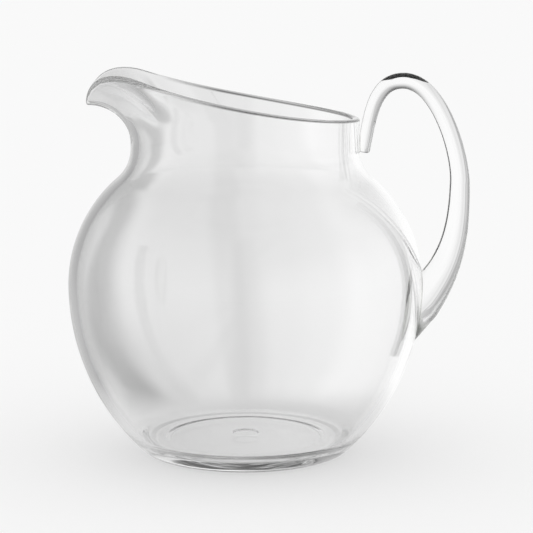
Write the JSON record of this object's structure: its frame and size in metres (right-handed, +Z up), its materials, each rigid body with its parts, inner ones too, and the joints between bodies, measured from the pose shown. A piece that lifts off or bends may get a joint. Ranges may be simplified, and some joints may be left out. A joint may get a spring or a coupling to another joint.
{
  "type": "beer pitcher",
  "caption": "Clear ball-shaped drinks pitcher with a short neck, a slanted rim, a broad curled pouring lip and a tapered rod handle cemented to neck and ball.",
  "frame": {"origin": "on the ball's axis, at the level of the table that the foot ring stands on", "axes": "+Z up, the pouring lip points to -X and the handle to +X"},
  "size_m": [0.2157, 0.19, 0.2062],
  "materials": {
    "clear_acrylic": "clear, polished mould finish",
    "cured_cement": "clear, slightly hazy film"
  },
  "bodies": {
    "root": {"body": "clear_acrylic", "handle": "clear_acrylic", "upper_bond": "cured_cement", "lower_bond": "cured_cement"}
  },
  "joints": []
}
